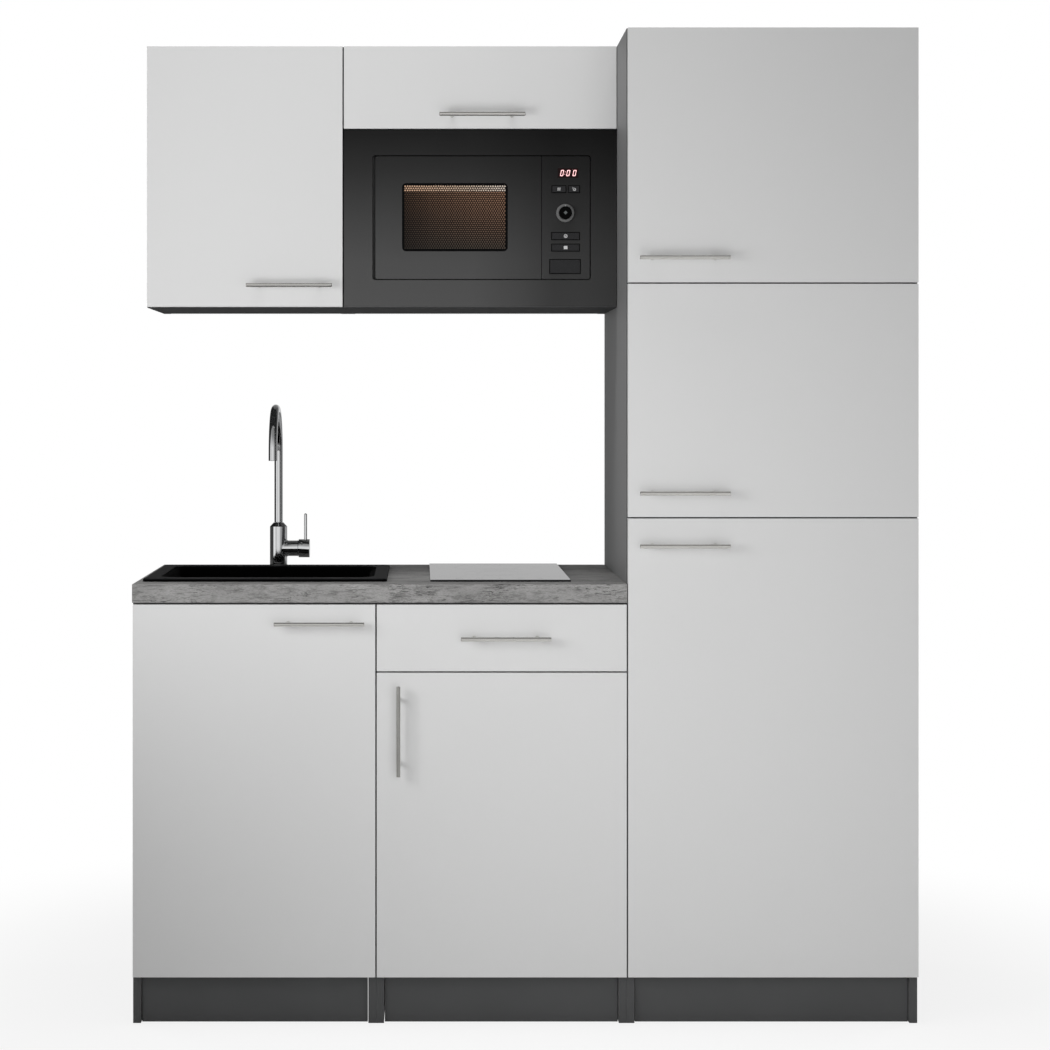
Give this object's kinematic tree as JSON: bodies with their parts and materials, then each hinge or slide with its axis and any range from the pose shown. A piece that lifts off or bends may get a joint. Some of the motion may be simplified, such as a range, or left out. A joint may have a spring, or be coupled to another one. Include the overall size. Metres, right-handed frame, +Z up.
{
  "type": "kitchenette unit with sink and hob",
  "caption": "One-line kitchenette with inset sink and tap, two-zone hob, drawer, hinged cupboards, a tall cupboard, a wall flap and a built-in microwave.",
  "frame": {"origin": "on the floor, in the middle of the unit's width and of its depth including the handles", "axes": "+X to the right seen from the front, +Y to the wall behind, +Z up"},
  "size_m": [1.6, 0.634, 2.03],
  "materials": {
    "front_laminate": "light grey melamine, silk matt",
    "carcass_laminate": "anthracite melamine, fine grain",
    "worktop_laminate": "grey concrete-look laminate",
    "drawer_board": "light grey board",
    "handle_steel": "satin",
    "hinge_steel": "nickel plated",
    "runner_steel": "white coated",
    "sink_black": "satin black",
    "waste_plastic": "white",
    "tap_chrome": "polished",
    "hob_glass": "black glass ceramic",
    "hob_case": "black",
    "microwave_frame": "satin anthracite",
    "microwave_front": "satin dark grey",
    "microwave_sheet": "grey enamel",
    "microwave_window": "dark tinted",
    "display_glass": "dark red",
    "button_plastic": "satin grey",
    "turntable_glass": "clear",
    "ring_plastic": "white"
  },
  "bodies": {
    "cabinets": {"worktop": "worktop_laminate", "sink_base_sides": "carcass_laminate", "sink_base_boards": "carcass_laminate", "drawer_base_sides": "carcass_laminate", "drawer_base_boards": "carcass_laminate", "tall_sides": "carcass_laminate", "tall_boards": "carcass_laminate", "wall_cabinet_sides": "carcass_laminate", "wall_cabinet_boards": "carcass_laminate", "microwave_cabinet_sides": "carcass_laminate", "microwave_cabinet_boards": "carcass_laminate", "loose_shelves": "carcass_laminate", "back_panels": "carcass_laminate", "plinth_boards": "carcass_laminate", "shelf_pins": "hinge_steel", "hinge_arms": "hinge_steel", "drawer_runners": "runner_steel", "wall_hangers": "hinge_steel", "sink_bowl": "sink_black", "sink_waste": "waste_plastic", "tap_body": "tap_chrome", "hob_glass": "hob_glass", "hob_body": "hob_case", "microwave_frame": "microwave_frame", "microwave_case": "microwave_sheet", "microwave_cavity": "microwave_sheet", "microwave_panel": "microwave_front", "microwave_display": "display_glass"},
    "drawer": {"drawer_front": "front_laminate", "drawer_handle": "handle_steel", "drawer_box": "drawer_board", "drawer_slides": "runner_steel"},
    "sink_door": {"sink_door": "front_laminate", "sink_door_fittings": "handle_steel"},
    "base_door": {"base_door": "front_laminate", "base_door_fittings": "handle_steel"},
    "tall_lower_door": {"tall_lower_door": "front_laminate", "tall_lower_fittings": "handle_steel"},
    "tall_middle_door": {"tall_middle_door": "front_laminate", "tall_middle_fittings": "handle_steel"},
    "tall_upper_door": {"tall_upper_door": "front_laminate", "tall_upper_fittings": "handle_steel"},
    "wall_door": {"wall_door": "front_laminate", "wall_door_fittings": "handle_steel"},
    "flap": {"flap_door": "front_laminate", "flap_fittings": "handle_steel"},
    "microwave_door": {"microwave_door": "microwave_front", "microwave_window": "microwave_window"},
    "microwave_knob": {"microwave_knob": "button_plastic"},
    "turntable": {"turntable": "turntable_glass"},
    "roller_ring": {"roller_ring": "ring_plastic"},
    "tap_spout": {"tap_spout": "tap_chrome"},
    "tap_cap": {"tap_cap": "tap_chrome"},
    "tap_lever": {"tap_lever": "tap_chrome"},
    "sink_plug": {"sink_plug": "hinge_steel"},
    "button_upper_left": {"button_upper_left": "button_plastic"},
    "button_upper_right": {"button_upper_right": "button_plastic"},
    "button_wide_upper": {"button_wide_upper": "button_plastic"},
    "button_wide_lower": {"button_wide_lower": "button_plastic"},
    "button_door_release": {"button_door_release": "button_plastic"}
  },
  "joints": [
    {"name": "sink_door_hinge", "type": "hinge", "parent": "cabinets", "child": "sink_door", "pos_m": [-0.7925, -0.278, 0.47675], "axis": [0, 0, -1], "range_deg": [0, 95]},
    {"name": "base_door_hinge", "type": "hinge", "parent": "cabinets", "child": "base_door", "pos_m": [0.1995, -0.278, 0.409], "axis": [0, 0, 1], "range_deg": [0, 95]},
    {"name": "tall_lower_door_hinge", "type": "hinge", "parent": "cabinets", "child": "tall_lower_door", "pos_m": [0.7925, -0.278, 0.565], "axis": [0, 0, 1], "range_deg": [0, 95]},
    {"name": "tall_middle_door_hinge", "type": "hinge", "parent": "cabinets", "child": "tall_middle_door", "pos_m": [0.7925, -0.278, 1.2705], "axis": [0, 0, 1], "range_deg": [0, 95]},
    {"name": "tall_upper_door_hinge", "type": "hinge", "parent": "cabinets", "child": "tall_upper_door", "pos_m": [0.7925, -0.278, 1.76875], "axis": [0, 0, 1], "range_deg": [0, 95]},
    {"name": "wall_door_hinge", "type": "hinge", "parent": "cabinets", "child": "wall_door", "pos_m": [-0.7925, -0.028, 1.75], "axis": [0, 0, -1], "range_deg": [0, 95]},
    {"name": "flap_hinge", "type": "hinge", "parent": "cabinets", "child": "flap", "pos_m": [-0.086, -0.028, 2.0225], "axis": [-1, 0, 0], "range_deg": [0, 90]},
    {"name": "drawer_slide", "type": "slide", "parent": "cabinets", "child": "drawer", "axis": [0, -1, 0], "range_m": [0, 0.38]},
    {"name": "microwave_door_hinge", "type": "hinge", "parent": "cabinets", "child": "microwave_door", "pos_m": [-0.305, -0.031, 1.662], "axis": [0, 0, -1], "range_deg": [0, 95]},
    {"name": "microwave_knob_turn", "type": "hinge", "parent": "cabinets", "child": "microwave_knob", "pos_m": [0.0958, -0.033, 1.6716], "axis": [0, -1, 0], "continuous": true},
    {"name": "button_upper_left_press", "type": "slide", "parent": "cabinets", "child": "button_upper_left", "axis": [0, 1, 0], "range_m": [0, 0.0015], "stiffness_N_per_m": 300, "springref_m": -0.001},
    {"name": "button_upper_right_press", "type": "slide", "parent": "cabinets", "child": "button_upper_right", "axis": [0, 1, 0], "range_m": [0, 0.0015], "stiffness_N_per_m": 300, "springref_m": -0.001},
    {"name": "button_wide_upper_press", "type": "slide", "parent": "cabinets", "child": "button_wide_upper", "axis": [0, 1, 0], "range_m": [0, 0.0015], "stiffness_N_per_m": 300, "springref_m": -0.001},
    {"name": "button_wide_lower_press", "type": "slide", "parent": "cabinets", "child": "button_wide_lower", "axis": [0, 1, 0], "range_m": [0, 0.0015], "stiffness_N_per_m": 300, "springref_m": -0.001},
    {"name": "button_door_release_press", "type": "slide", "parent": "cabinets", "child": "button_door_release", "axis": [0, 1, 0], "range_m": [0, 0.0015], "stiffness_N_per_m": 300, "springref_m": -0.001},
    {"name": "turntable_turn", "type": "hinge", "parent": "cabinets", "child": "turntable", "pos_m": [-0.13262, 0.1327, 1.5576], "axis": [0, 0, 1], "continuous": true},
    {"name": "roller_ring_turn", "type": "hinge", "parent": "cabinets", "child": "roller_ring", "pos_m": [-0.13262, 0.1327, 1.5513], "axis": [0, 0, 1], "continuous": true},
    {"name": "tap_spout_swivel", "type": "hinge", "parent": "cabinets", "child": "tap_spout", "pos_m": [-0.535, 0.265, 0.996], "axis": [0, 0, 1], "range_deg": [-90, 90]},
    {"name": "tap_cap_turn", "type": "hinge", "parent": "cabinets", "child": "tap_cap", "pos_m": [-0.4895, 0.265, 0.9375], "axis": [1, 0, 0], "range_deg": [-30, 60]},
    {"name": "tap_lever_tilt", "type": "hinge", "parent": "tap_cap", "child": "tap_lever", "pos_m": [-0.4739, 0.265, 0.948], "axis": [0, 1, 0], "range_deg": [0, 18]},
    {"name": "sink_plug_lift", "type": "slide", "parent": "cabinets", "child": "sink_plug", "axis": [0, 0, 1], "range_m": [0, 0.02]}
  ],
  "couplings": [
    {"joint": "roller_ring_turn", "follows": "turntable_turn", "ratio": 0.5}
  ]
}
